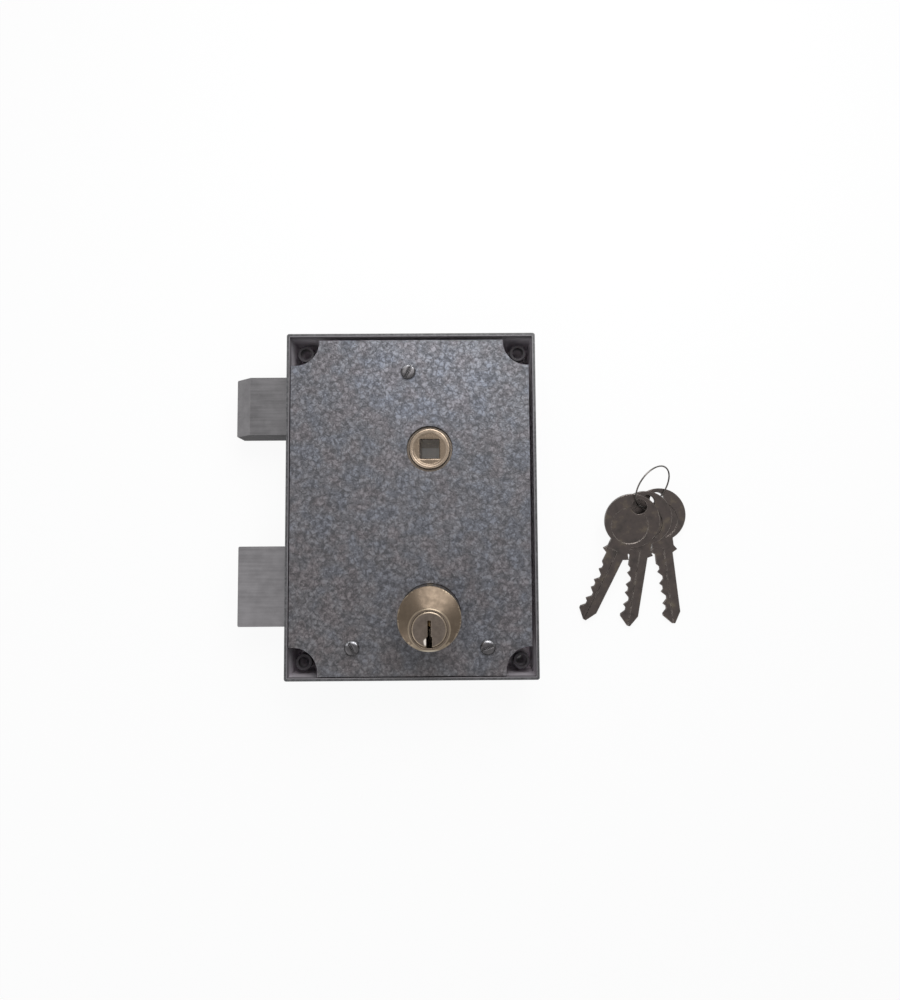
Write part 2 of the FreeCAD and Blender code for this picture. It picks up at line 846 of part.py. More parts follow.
def pin_seat(cut):
    """Height above the plug's axis of a key's edge at a cut of that depth."""
    return key_rest + blade_width - cut


def key_pins():
    """Lower pins with tips for the key's cuts and their tops just under the plug's surface."""
    tip, full = cut_flat / 2 - key_play, pin_diameter / 2
    tip_rise = (full - tip) / cut_flank
    high = plug_diameter / 2 - pin_play
    pins = []
    for depth, cut in zip(pin_depths, key_cuts):
        seat = pin_seat(cut)
        ends = [regular_corners(V(hub_x, plug_y + y, body_front - depth), V(0, 1, 0), radius, pin_sides)
                for y, radius in ((seat, tip), (seat + tip_rise, full))]
        pins.append(pin_shaft(depth, seat + tip_rise, high, pin_diameter).fuse(taper(*ends)).removeSplitter())
    return pins


def driver_pins():
    low = plug_diameter / 2 + plug_clearance + pin_play
    return [pin_shaft(d, low, low + driver_length, pin_diameter) for d in pin_depths]


def pin_springs():
    """Pin springs as plain sleeves, each seated between a driver and its cap."""
    low = plug_diameter / 2 + plug_clearance + pin_play + driver_length
    high = chamber_top - cap_length
    springs = []
    for depth in pin_depths:
        foot = V(hub_x, plug_y + low, body_front - depth)
        rims = [polygon_wire(foot, V(0, 1, 0), pin_diameter / 2 - inset, pin_sides)
                for inset in (sleeve_play, sleeve_play + sleeve_wall)]
        face = Part.Face(rims)
        springs.append(face.extrude(V(0, high - low, 0)))
    return springs


def chamber_caps():
    """Brass caps that close the pin chambers, turned flush with the body."""
    skin = upright(hub_x, cylinder_y, 0, body_front, body_diameter)
    caps = []
    for depth in pin_depths:
        cap = pin_shaft(depth, chamber_top - cap_length, chamber_top + over, pin_bore)
        caps.append(cap.common(skin))
    return caps


def body_screw_places():
    return [(hub_x + x, cylinder_y + y) for x, y in bridge_screw_places]


def cylinder_bridge():
    """Strap, welded over the rack, that carries the cylinder and the pinion's journal."""
    low = bridge_middle - bridge_span / 2
    high = bridge_middle + bridge_span / 2
    x0 = hub_x - bridge_width / 2
    sheet = bridge_sheet
    profile = [
        (x0, low - bridge_foot, floor),
        (x0, low, floor),
        (x0, low, bridge_bottom),
        (x0, high, bridge_bottom),
        (x0, high, floor),
        (x0, high + bridge_foot, floor),
        (x0, high + bridge_foot, floor + sheet),
        (x0, high + sheet, floor + sheet),
        (x0, high + sheet, bridge_top),
        (x0, low - sheet, bridge_top),
        (x0, low - sheet, floor + sheet),
        (x0, low - bridge_foot, floor + sheet),
    ]
    strap = prism(profile, V(bridge_width, 0, 0))
    cuts = [upright(hub_x, plug_y, 0, bridge_top + over, journal_diameter + 2 * fit)]
    for x, y in body_screw_places():
        cuts.append(flat_sided(x, y, 0, bridge_top + over, bridge_screw_thread, pin_sides))
        cuts.append(countersink(x, y))
    return strap.cut(cuts)


def countersink(x, y):
    wide, narrow = bridge_screw_head / 2, bridge_screw_thread / 2
    return taper(*[regular_corners(V(x, y, z), V(0, 0, 1), radius, pin_sides)
                   for radius, z in ((wide, bridge_bottom), (narrow, bridge_bottom + wide - narrow))])


def cylinder_screws():
    """Countersunk screws up through the bridge into the body."""
    screws = []
    for x, y in body_screw_places():
        shank = flat_sided(x, y, bridge_bottom, bridge_top + bridge_screw_depth, bridge_screw_thread,
                           pin_sides)
        half = bridge_slot_width / 2
        drive = box(x - bridge_screw_head, x + bridge_screw_head, y - half, y + half,
                    bridge_bottom - over, bridge_bottom + bridge_slot_depth)
        screws.append(shank.fuse(countersink(x, y)).removeSplitter().cut(drive))
    return screws


def cut_edge(half):
    """The cuts from tip to shoulder, each with a flat floor and flanks that meet in a crest."""
    floors = [(key_stop + depth, cut) for depth, cut in zip(pin_depths, key_cuts)][::-1]
    last_x, last_cut = floors[-1]
    first_x, first_cut = floors[0]
    points = [(first_x + cut_flat / 2 + first_cut * cut_flank, half)]
    for n, (x, cut) in enumerate(floors):
        points += [(x + cut_flat / 2, half - cut), (x - cut_flat / 2, half - cut)]
        if n + 1 < len(floors):
            both = cut + floors[n + 1][1]
            crest = max(0, (both - (pin_pitch - cut_flat) / cut_flank) / 2)
            points.append((x - cut_flat / 2 - (cut - crest) * cut_flank, half - crest))
    points.append((last_x - cut_flat / 2 - last_cut * cut_flank, half))
    return points


def blade_outline():
    """One side of a key from neck to tip, with its cuts on the upper edge."""
    half = blade_width / 2
    neck = key_neck_width / 2
    points = [
        (0, -neck),
        (shoulder_distance - shoulder_ramp, -neck),
        (shoulder_distance, -shoulder_width / 2),
        (shoulder_distance + shoulder_step, -half),
        (key_reach - tip_length, -half),
        (key_reach, -tip_flat / 2 - tip_shift),
        (key_reach, tip_flat / 2 - tip_shift),
        (key_reach - tip_ramp, half),
    ]
    points += cut_edge(half)
    points += [
        (shoulder_distance + shoulder_step, half),
        (shoulder_distance, shoulder_width / 2),
        (shoulder_distance - shoulder_ramp, neck),
        (0, neck),
    ]
    return [(x, y, 0) for x, y in points]


def key_blank():
    """A cut key lying flat, its tip along +X and its bow centre at the origin."""
    bow = upright(0, 0, 0, key_sheet, bow_diameter)
    key = bow.fuse(prism(blade_outline(), V(0, 0, key_sheet))).removeSplitter()
    mill_end = key_reach + over
    low = keyway_shoulder - key_rest - blade_width / 2 - key_play
    high = blade_width / 2 + over
    depth = bow_recess_depth
    cuts = [
        upright(-bow_hole_offset, 0, -over, key_sheet + over, bow_hole_diameter),
        upright(bow_recess_shift, 0, key_sheet - depth, key_sheet + over, bow_recess_diameter),
        upright(bow_recess_shift, 0, -over, depth, bow_recess_diameter),
        box(key_mill_start, mill_end, low, high, -over, key_mill_depth),
        box(key_mill_start, mill_end, low, high, key_sheet - key_mill_depth, key_sheet + over),
    ]
    return key.cut(cuts)


def key_placement(x, y, lean, slope):
    """From a flat blank to its place: its tip on the floor, its bow lifted by the slope."""
    direction = -90.0 - lean
    turn = math.radians(direction)
    flat = key_reach * math.cos(math.radians(slope))
    tip = V(x + flat * math.cos(turn), y + flat * math.sin(turn), 0)
    turns = FreeCAD.Rotation(V(0, 0, 1), direction) * FreeCAD.Rotation(V(0, 1, 0), slope)
    return FreeCAD.Placement(tip, turns) * FreeCAD.Placement(V(-key_reach, 0, 0), FreeCAD.Rotation())


def laid_key(place):
    """A key lying by the lock, its cuts to the left."""
    key = key_blank().mirror(V(0, 0, 0), V(0, 1, 0))
    key.Placement = key_placement(*place) * key.Placement
    return key


def key_ring():
    """Plain wire ring that stands in the three bows, set from the middle key's hole."""
    hole = key_placement(*key_places[1]).multVec(V(-bow_hole_offset, 0, key_sheet / 2))
    centre = hole + V(*ring_from_hole)
    normal = V(*ring_normal).normalize()
    outward = normal.cross(V(0, 1, 0)).normalize()
    section = polygon_wire(centre + outward * (ring_diameter / 2), normal.cross(outward),
                           ring_wire / 2, ring_sides)
    return Part.Face(section).revolve(centre, normal, 360)


def build():
    os.makedirs("parts", exist_ok=True)
    save("case_tray", case_tray())
    save("cover", cover())
    save("cover_posts", cover_posts())
    save("cover_screws", cover_screws())
    save("fixing_pillars", fixing_pillars())
    save("guide_studs", guide_studs())
    save("latch_head", bolt_head(latch_tip, latch_middle, latch_width, latch_tail_low, latch_tail_high,
                                 latch_bevel_length, latch_bevel_depth))
    save("latch_tail", latch_tail())
    save("latch_rivets", rivets(latch_middle, bolt_bottom, bolt_top))
    save("latch_spring", latch_spring())
    save("spring_rod", spring_rod())
    save("spring_bracket", spring_bracket())
    save("follower_hub", follower_hub())
    save("follower_arm", follower_arm())
    rack_low = rack_line - tooth_tip
    save("deadbolt_head", bolt_head(dead_tip, dead_middle, dead_width, rack_low, dead_tail_top, 0, 0))
    save("deadbolt_tail", deadbolt_tail())
    save("deadbolt_rivets", rivets(dead_middle, bolt_bottom, bolt_top))
    save("cylinder_body", cylinder_body())
    save("cylinder_plug", cylinder_plug())
    save("plug_clip", plug_clip())
    save("key_pins", key_pins())
    save("driver_pins", driver_pins())
    save("pin_springs", pin_springs())
    save("chamber_caps", chamber_caps())
    save("drive_pinion", drive_pinion())
    save("cylinder_bridge", cylinder_bridge())
    save("cylinder_screws", cylinder_screws())
    for name, place in zip(key_names, key_places):
        save(name, laid_key(place))
    save("key_ring", key_ring())


build()
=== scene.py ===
import math

import bpy
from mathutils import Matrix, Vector

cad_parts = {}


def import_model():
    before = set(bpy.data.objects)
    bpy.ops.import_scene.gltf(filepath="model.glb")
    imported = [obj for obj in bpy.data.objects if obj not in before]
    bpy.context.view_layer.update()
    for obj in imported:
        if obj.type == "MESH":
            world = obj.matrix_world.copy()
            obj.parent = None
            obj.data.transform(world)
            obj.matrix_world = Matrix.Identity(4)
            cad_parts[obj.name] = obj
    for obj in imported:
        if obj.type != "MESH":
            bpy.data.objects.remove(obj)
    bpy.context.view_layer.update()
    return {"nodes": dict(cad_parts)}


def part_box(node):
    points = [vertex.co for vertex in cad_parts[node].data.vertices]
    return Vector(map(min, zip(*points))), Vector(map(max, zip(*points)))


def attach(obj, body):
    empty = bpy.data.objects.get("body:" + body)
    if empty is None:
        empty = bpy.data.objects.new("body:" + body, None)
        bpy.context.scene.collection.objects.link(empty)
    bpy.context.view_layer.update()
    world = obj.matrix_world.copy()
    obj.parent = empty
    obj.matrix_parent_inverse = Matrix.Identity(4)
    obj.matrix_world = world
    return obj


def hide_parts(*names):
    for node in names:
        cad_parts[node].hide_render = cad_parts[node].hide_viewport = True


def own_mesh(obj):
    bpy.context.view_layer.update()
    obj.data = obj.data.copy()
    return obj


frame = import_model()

nodes = frame["nodes"]

# Door lock: finishes, softened edges, light and camera. Lengths are in metres unless
# a name says otherwise, and material patterns are laid out in millimetres.

MM = 0.001

# Camera, fitted to the outline of the case, bolts and cylinder
camera_place = Vector((15.117, -16.772, 312.706)) * MM
camera_turn = (0.0647, -0.0031, -0.0065)
focal_px = 684.0
frame_height_px = 1000.0
sensor_mm = 36.0

# Light
world_fill = (0.36, 0.365, 0.375)
key_place = Vector((0.07, 0.24, 0.30))
key_size = 0.29
key_power = 1.15
fill_place = Vector((-0.35, -0.30, 0.45))
fill_size = 0.40
fill_power = 0.5
floor_gap = 0.0001
floor_half = 4.0
shadow_share = 0.07
under_lock_glow = 0.07
under_lock_margin = 2 * MM

# Softened edges
smooth_angle = math.radians(25)
bevel_angle = math.radians(30)
weld_distance = 2e-6

# Sizes of the case, read from the frame, for the parts of its paint and for its painted light by depth
tray_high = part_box("case_tray")[1]
case_half_x_mm = tray_high.x / MM
case_half_y_mm = tray_high.y / MM
rim_mm = 1.0
inner_floor_mm = 0.6
cover_level_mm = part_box("cover")[0].z / MM

# A painted sheen: a lighter patch painted on the cover's enamel, near the latch end, where the lamp's sheen falls
painted_sheen_mm = (4.0, 50.0, 0.0)
painted_sheen_spread = (0.026, 0.038, 0.0)

# The middles of the two rows of screws in the cover, and where the painted highlight on the upper slope of a head
# starts above them
screw_head_mm = 6.2
screws_low, screws_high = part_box("cover_screws")
screw_rows_mm = (screws_low.y / MM + screw_head_mm / 2, screws_high.y / MM - screw_head_mm / 2)
screw_glint_mm = (0.8, 1.2)

# The follower's axis and front, for the painted highlight on its lip, the painted shade below it and the painted
# light on the walls of its square hole
hub_low, hub_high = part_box("follower_hub")
hub_axis_mm = tuple((hub_low + hub_high) / (2 * MM))
lip_highlight_mm = (hub_high.z / MM - 0.5, hub_high.z / MM - 0.2)
square_reach_mm = 6.0

# A painted glint on the plug beside the keyway, and a painted highlight on the rim below its axis
plug_low, plug_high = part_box("cylinder_plug")
plug_middle = (plug_low + plug_high) / (2 * MM)
painted_glint_mm = (plug_middle.x - 1.25, plug_middle.y - 4.7, plug_high.z / MM)
painted_glint_spread = (0.88, 0.62, 0.3)
low_rim_highlight_mm = (7.5, 8.2)


class Surface:
    """A node material under construction, with patterns laid out in millimetres."""

    def __init__(self, name):
        self.material = bpy.data.materials.new(name)
        self.material.use_nodes = True
        self.tree = self.material.node_tree
        self.shader = self.tree.nodes["Principled BSDF"]
        place = self.add("TexCoord").outputs["Object"]
        self.mm = self.add("VectorMath", operation="SCALE", inputs={"Vector": place, "Scale": 1 / MM}).outputs[0]

    def add(self, kind, inputs=None, **settings):
        node = self.tree.nodes.new("ShaderNode" + kind)
        for name, value in settings.items():
            setattr(node, name, value)
        for name, value in (inputs or {}).items():
            self.put(node.inputs[name], value)
        return node

    def put(self, socket, value):
        if isinstance(value, bpy.types.NodeSocket):
            self.tree.links.new(value, socket)
        elif hasattr(value, "__len__") and len(value) == 3 and socket.type == "RGBA":
            socket.default_value = (*value, 1.0)
        else:
            socket.default_value = value

    def set(self, **inputs):
        for name, value in inputs.items():
            self.put(self.shader.inputs[name.replace("_", " ")], value)

    def math(self, operation, first, second=0.0):
        node = self.add("Math", operation=operation)
        self.put(node.inputs[0], first)
        self.put(node.inputs[1], second)
        return node.outputs[0]

    def ramp(self, factor, *stops):
        """A smooth ramp through (position, grey level or colour) stops."""
        node = self.add("ValToRGB", {"Fac": factor})
        node.color_ramp.interpolation = "EASE"
        elements = node.color_ramp.elements
        while len(elements) < len(stops):
            elements.new(0.5)
        for element, (position, colour) in zip(elements, stops):
            element.position = position
            shade = colour if hasattr(colour, "__len__") else (colour, colour, colour)
            element.color = (*shade, 1.0)
        return node.outputs["Color"]

    def mix(self, factor, first, second, blend="MIX"):
        node = self.add("Mix", data_type="RGBA", blend_type=blend)
        self.put(node.inputs[0], factor)
        self.put(node.inputs[6], first)
        self.put(node.inputs[7], second)
        return node.outputs[2]

    def times(self, first, second):
        """One colour multiplied by another."""
        return self.mix(1.0, first, second, "MULTIPLY")

    def axes(self, place=None):
        """The coordinates of the pattern's place, or of another vector."""
        return self.add("SeparateXYZ", {"Vector": place or self.mm}).outputs

    def stretched(self, x, y, z):
        """The pattern's place, stretched along the axes with small shares."""
        return self.add("VectorMath", {0: self.mm, 1: (x, y, z)}, operation="MULTIPLY").outputs[0]

    def noise(self, scale, detail=2.0, roughness=0.5, place=None, distortion=0.0):
        node = self.add("TexNoise", {
            "Vector": place or self.mm, "Scale": scale, "Detail": detail,
            "Roughness": roughness, "Distortion": distortion,
        })
        return node.outputs["Fac"]

    def cells(self, scale, feature, place=None, smooth=0.6):
        node = self.add("TexVoronoi", feature=feature)
        self.put(node.inputs["Vector"], place or self.mm)
        self.put(node.inputs["Scale"], scale)
        if feature == "SMOOTH_F1":
            self.put(node.inputs["Smoothness"], smooth)
        return node.outputs["Distance"]

    def warped(self, scale, amount):
        """The pattern's place, pushed about by noise."""
        push = self.add("TexNoise", {"Vector": self.mm, "Scale": scale, "Detail": 2.0}).outputs["Color"]
        centred = self.add("VectorMath", {0: push, 1: (0.5, 0.5, 0.5)}, operation="SUBTRACT").outputs[0]
        scaled = self.add("VectorMath", {"Vector": centred, "Scale": amount}, operation="SCALE").outputs[0]
        return self.add("VectorMath", {0: self.mm, 1: scaled}, operation="ADD").outputs[0]

    def edges(self, radius_mm, low, high):
        """1 along worn outer edges, 0 on flat stretches."""
        soft = self.add("Bevel", {"Radius": radius_mm * MM}, samples=6).outputs["Normal"]
        flat = self.add("NewGeometry").outputs["Normal"]
        along = self.add("VectorMath", {0: soft, 1: flat}, operation="DOT_PRODUCT").outputs["Value"]
        return self.ramp(self.math("SUBTRACT", 1.0, along), (low, 0.0), (high, 1.0))

    def corners(self, distance_mm, low, high):
        """1 in open air, 0 deep in corners and recesses."""
        node = self.add("AmbientOcclusion", {"Distance": distance_mm * MM}, samples=8)
        return self.ramp(node.outputs["AO"], (low, 0.0), (high, 1.0))

    def rounded(self, radius_mm):
        """The shading normal of an edge rounded to a radius."""
        return self.add("Bevel", {"Radius": radius_mm * MM}, samples=6).outputs["Normal"]

    def facing_up(self, low, high):
        """1 on faces that lie flat, 0 on upright ones."""
        normal = self.add("NewGeometry").outputs["Normal"]
        return self.rise(self.axes(normal)["Z"], low, high)

    def rise(self, value, low, high):
        """0 below a value, 1 above another, for values of any size."""
        return self.ramp(self.math("DIVIDE", self.math("SUBTRACT", value, low), high - low), (0.0, 0.0), (1.0, 1.0))

    def spot(self, place_mm, spread):
        """1 in a ragged spot round a place, whose reach along each axis is 1 / spread."""
        away = self.add("VectorMath", {0: self.mm, 1: place_mm}, operation="SUBTRACT").outputs[0]
        scaled = self.add("VectorMath", {0: away, 1: spread}, operation="MULTIPLY").outputs[0]
        reach = self.add("VectorMath", {0: scaled}, operation="LENGTH").outputs["Value"]
        wander = self.math("MULTIPLY", self.math("SUBTRACT", self.noise(0.9, 3.0), 0.5), 0.6)
        return self.ramp(self.math("ADD", reach, wander), (0.55, 1.0), (1.0, 0.0))

    def height(self, top_mm):
        """0 at the case's back, 1 at a level in front of it."""
        return self.math("DIVIDE", self.axes()["Z"], top_mm)

    def bump(self, height, depth_mm, strength=1.0, normal=None):
        node = self.add("Bump", {"Height": height, "Distance": depth_mm * MM, "Strength": strength})
        if normal is not None:
            self.put(node.inputs["Normal"], normal)
        self.put(self.shader.inputs["Normal"], node.outputs["Normal"])


def shaded(colour, share):
    """A colour made lighter or darker."""
    return tuple(min(1.0, share * c) for c in colour)


def hammered(s):
    """The tone and height of hammered paint: soft blobs with thin dark veins between them."""
    place = s.warped(0.50, 2.6)
    veins = s.ramp(s.cells(0.44, "DISTANCE_TO_EDGE", place), (0.0, 0.0), (0.16, 1.0))
    blobs = s.ramp(s.cells(0.44, "SMOOTH_F1", place, smooth=0.5), (0.10, 1.0), (0.70, 0.0))
    grain = s.ramp(s.noise(0.64, 3.0, 0.6, distortion=0.8), (0.34, 0.0), (0.66, 1.0))
    cells = s.math("ADD", s.math("MULTIPLY", blobs, 0.18), s.math("MULTIPLY", veins, 0.22))
    return s.math("ADD", cells, s.math("MULTIPLY", grain, 0.60)), cells


def hammered_enamel():
    """Grey hammered enamel on the cover, with painted light: cooler and lighter towards one corner, a painted sheen,
    and painted shade in its corners.
    """
    s = Surface("hammered_enamel")
    tone, height = hammered(s)
    enamel = s.ramp(tone, (0.12, (0.044, 0.043, 0.047)), (0.50, (0.100, 0.098, 0.104)),
                    (0.92, (0.200, 0.199, 0.210)))
    # Painted light: the enamel is made lighter and bluer towards the upper corner, where the lamp's light falls.
    along = s.axes()
    across = s.math("ADD", along["Y"], s.math("MULTIPLY", along["X"], 0.5))
    wander = s.math("MULTIPLY", s.math("SUBTRACT", s.noise(0.03, 3.0), 0.5), 90.0)
    slide = s.math("ADD", s.math("DIVIDE", s.math("ADD", across, wander), 180.0), 0.5)
    painted_light_drift = s.ramp(slide, (0.05, (0.86, 0.83, 0.83)), (0.5, (0.98, 0.98, 1.02)), (0.95, (1.04, 1.08, 1.18)))
    tinted = s.times(enamel, painted_light_drift)
    patch = s.noise(0.12, 2.0, place=s.warped(0.08, 6.0))
    cast = s.ramp(patch, (0.36, (1.05, 0.98, 0.96)), (0.50, (1.0, 1.0, 1.0)), (0.64, (0.95, 1.0, 1.06)))
    tinted = s.times(tinted, cast)
    # Painted sheen: the enamel is lighter in a patch where the lamp's reflection falls.
    painted_sheen = s.mix(s.spot(painted_sheen_mm, painted_sheen_spread), (1.0, 1.0, 1.0), (1.14, 1.14, 1.15))
    tinted = s.times(tinted, painted_sheen)
    # Painted shade: the enamel is darkened in corners and recesses, where shade falls.
    painted_corner_mask = s.corners(2.5, 0.05, 0.60)
    painted = s.mix(painted_corner_mask, (0.060, 0.058, 0.060), tinted)
    s.set(Base_Color=s.mix(s.facing_up(-0.9, -0.5), (0.75, 0.70, 0.74), painted),
          Roughness=s.ramp(tone, (0.2, 0.50), (0.8, 0.32)))
    s.bump(height, 0.16, 1.0)
    return s.material


def case_enamel():
    """The case's paint: grey outside, dark inside with painted light, lighter deep in the case and darker near the
    cover, and lighter along its rim as rubbed wear and a painted highlight.
    """
    s = Surface("case_enamel")
    tone, height = hammered(s)
    outside = s.ramp(tone, (0.12, (0.035, 0.034, 0.036)), (0.50, (0.060, 0.059, 0.062)),
                     (0.92, (0.100, 0.099, 0.104)))
    along = s.axes()
    within_x = s.math("LESS_THAN", s.math("ABSOLUTE", along["X"]), case_half_x_mm - rim_mm)
    within_y = s.math("LESS_THAN", s.math("ABSOLUTE", along["Y"]), case_half_y_mm - rim_mm)
    above = s.math("GREATER_THAN", along["Z"], inner_floor_mm)
    inside = s.math("MULTIPLY", s.math("MULTIPLY", within_x, within_y), above)
    # Painted light: the inside is made lighter deep in the case, where little light reaches, and darker near the
    # cover.
    painted_light_by_depth = s.ramp(s.height(cover_level_mm), (0.05, (0.92, 0.86, 0.91)), (0.50, (0.80, 0.74, 0.79)),
                   (0.86, (0.62, 0.58, 0.62)), (0.99, (0.23, 0.215, 0.23)))
    primer_with_painted_light = s.mix(s.noise(0.35, 4.0, 0.6), painted_light_by_depth, s.times(painted_light_by_depth, (0.85, 0.85, 0.85)))
    paint = s.mix(inside, outside, primer_with_painted_light)
    # Lighter along the rim: rubbed wear and a painted highlight where the rim catches the light.
    wear_and_highlight = s.math("MULTIPLY", s.edges(0.4, 0.05, 0.35), s.ramp(s.noise(0.3, 4.0, 0.7), (0.45, 0.0), (0.65, 0.6)))
    s.set(Base_Color=s.mix(wear_and_highlight, paint, (0.19, 0.185, 0.18)), Roughness=0.45)
    s.bump(height, 0.08, 0.8)
    return s.material


def pillar_paint():
    """The fixing pillars, in the colour of the case's inside, with its painted light: lighter low down, darker at
    their tops.
    """
    s = Surface("pillar_paint")
    mottle = s.ramp(s.noise(0.8, 4.0, 0.6), (0.3, (0.85, 0.85, 0.85)), (0.7, (1.1, 1.1, 1.1)))
    # Painted light: lighter low in the case, where little light reaches, darker at the pillars' tops.
    painted_light_by_depth = s.ramp(s.height(cover_level_mm), (0.05, (0.92, 0.86, 0.91)), (0.50, (0.70, 0.65, 0.69)),
                   (0.74, (0.078, 0.072, 0.078)))
    s.set(Base_Color=s.times(painted_light_by_depth, mottle), Roughness=0.55, Specular_IOR_Level=0.12)
    return s.material


def satin_steel(name, colour, streak, roughness, bevel_painted_light):
    """Plated steel with a faint grain along X, softly mottled, with painted shade on its upright sides, painted light
    on its sloping bevels, and edges lighter as rubbed wear and a painted highlight.
    """
    s = Surface(name)
    grain = s.noise(1.0, 3.0, 0.6, place=s.stretched(0.05, streak, streak))
    mottle = s.noise(0.16, 4.0, 0.6)
    shade = s.ramp(mottle, (0.32, shaded(colour, 0.86)), (0.68, shaded(colour, 1.12)))
    lined = s.mix(0.35, shade, s.ramp(grain, (0.3, shaded(colour, 0.75)), (0.7, shaded(colour, 1.2))))
    facing = s.facing_up(0.1, 0.6)
    # Painted light: sloping bevels are painted lighter than the flat faces.
    bevel = s.times(lined, (bevel_painted_light, bevel_painted_light, bevel_painted_light))
    with_bevel_light = s.mix(s.facing_up(0.9, 0.99), bevel, lined)
    # Painted shade: upright sides are painted darker.
    with_side_shade = s.mix(facing, s.times(lined, (0.50, 0.49, 0.50)), with_bevel_light)
    # Edges lighter: rubbed wear and a painted highlight.
    wear_and_highlight = s.math("MULTIPLY", s.edges(0.3, 0.04, 0.30), 0.4)
    satin = s.ramp(grain, (0.3, roughness - 0.06), (0.7, roughness + 0.08))
    s.set(Base_Color=s.mix(wear_and_highlight, with_side_shade, shaded(colour, 1.4)), Metallic=s.math("MULTIPLY", facing, 0.9),
          Roughness=s.mix(facing, (0.8, 0.8, 0.8), satin))
    s.bump(grain, 0.02, 0.5)
    return s.material


def brass_painted_by_facing(s, flat, slope, rim, side):
    """Brass in lit and shaded copies by how a face lies, as painted light: tarnished where flat, brighter on cones
    and rims as a painted highlight, dark on its sides as painted shade.
    """
    tarnish = s.noise(0.40, 5.0, 0.65)
    flat_now = s.ramp(tarnish, (0.32, shaded(flat, 0.80)), (0.68, shaded(flat, 1.15)))
    slope_now = s.ramp(tarnish, (0.32, shaded(slope, 0.86)), (0.68, shaded(slope, 1.08)))
    rim_now = s.ramp(tarnish, (0.32, shaded(rim, 0.90)), (0.68, shaded(rim, 1.08)))
    side_now = s.ramp(tarnish, (0.32, shaded(side, 0.80)), (0.68, shaded(side, 1.15)))
    # Painted light: rims and cones, flat faces and sides take different colours by which way they face.
    sloping = s.mix(s.facing_up(0.885, 0.915), rim_now, slope_now)
    upper = s.mix(s.facing_up(0.975, 0.995), sloping, flat_now)
    return s.mix(s.facing_up(0.15, 0.45), side_now, upper), tarnish


def turned_finish(s, shade, tarnish, roughness, rubbed_and_highlight, wear_and_highlight_share, painted_corner_colour, rim_mm):
    """Fine turning lines, rounded edges lightened as rubbed wear and a painted highlight, and a colour painted in the
    corners in place of the light and shade in them.
    """
    # Edges lighter: rubbed wear and a painted highlight.
    wear_and_highlight = s.math("MULTIPLY", s.edges(0.35, 0.04, 0.28), wear_and_highlight_share)
    # Corners take a painted colour in place of the light and shade in them.
    painted_corner_mask = s.corners(1.4, 0.20, 0.80)
    s.set(Base_Color=s.mix(painted_corner_mask, painted_corner_colour, s.mix(wear_and_highlight, shade, rubbed_and_highlight)),
          Metallic=s.ramp(painted_corner_mask, (0.0, 0.2), (0.8, 1.0)),
          Roughness=s.ramp(tarnish, (0.3, roughness + 0.08), (0.7, roughness - 0.04)))
    lines = s.noise(3.0, 1.0, 0.5, place=s.add("CombineXYZ", {"Z": s.axes()["Z"]}).outputs[0])
    s.bump(lines, 0.01, 0.25, normal=s.rounded(rim_mm))


def cylinder_brass():
    """The cylinder's brass: a polished cone, tarnished face and barrel, rims painted brighter as a highlight, painted
    shade in its corners and a painted highlight on its lowest rim.
    """
    s = Surface("cylinder_brass")
    shade, tarnish = brass_painted_by_facing(s, flat=(0.130, 0.103, 0.083), slope=(0.105, 0.081, 0.060),
                                  rim=(0.23, 0.186, 0.138), side=(0.130, 0.105, 0.085))
    # Painted highlight: a bright arc on the rim below the plug's axis.
    off_axis = s.add("VectorMath", {0: s.mm, 1: tuple(plug_middle)}, operation="SUBTRACT").outputs[0]
    below = s.math("SUBTRACT", 0.0, s.axes(off_axis)["Y"])
    low_rim_highlight = s.math("MULTIPLY", s.rise(below, *low_rim_highlight_mm), s.facing_up(0.3, 0.5))
    shade = s.mix(low_rim_highlight, shade, (0.46, 0.41, 0.33))
    turned_finish(s, shade, tarnish, roughness=0.30, rubbed_and_highlight=(0.34, 0.285, 0.22), wear_and_highlight_share=0.8,
                  painted_corner_colour=(0.12, 0.095, 0.07), rim_mm=0.45)
    return s.material


def plug_brass():
    """The plug's brass, with a painted glint beside the keyway, and its keyway walls and corners painted light to
    lift their shade.
    """
    s = Surface("plug_brass")
    # The keyway walls (side) and its corners are painted light, lifting their shade.
    shade, tarnish = brass_painted_by_facing(s, flat=(0.125, 0.102, 0.086), slope=(0.24, 0.195, 0.15),
                                  rim=(0.24, 0.195, 0.15), side=(0.40, 0.32, 0.23))
    # Painted glint: a bright spot beside the keyway.
    shade = s.mix(s.spot(painted_glint_mm, painted_glint_spread), shade, (0.72, 0.66, 0.60))
    turned_finish(s, shade, tarnish, roughness=0.25, rubbed_and_highlight=(0.30, 0.25, 0.19), wear_and_highlight_share=0.8,
                  painted_corner_colour=(0.50, 0.42, 0.32), rim_mm=0.45)
    return s.material


